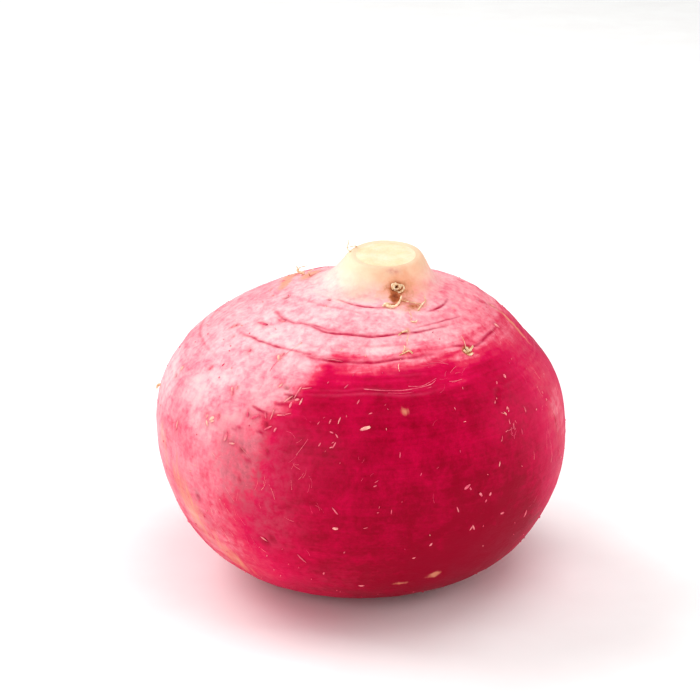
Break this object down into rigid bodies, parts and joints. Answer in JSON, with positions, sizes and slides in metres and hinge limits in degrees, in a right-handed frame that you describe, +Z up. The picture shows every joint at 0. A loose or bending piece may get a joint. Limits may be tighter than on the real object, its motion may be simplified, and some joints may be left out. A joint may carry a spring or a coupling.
{
  "type": "radish",
  "caption": "Large round radish root: a squat globe standing on the flat of its cut crown, with the short sliced stub of its tail on top.",
  "frame": {"origin": "middle of the cut crown, the flat that the radish stands on", "axes": "+Z up, from the crown to the sliced tail; the tail stub leans towards +X, and the most wrinkled side with the side root's scar faces -Y"},
  "size_m": [0.1109, 0.1069, 0.0908],
  "materials": {
    "skin": "thin crimson skin with a satin sheen, paling to cream at the tail",
    "rootlet": "dry straw-coloured root hairs"
  },
  "bodies": {
    "root": {"radish": "skin"}
  },
  "joints": []
}
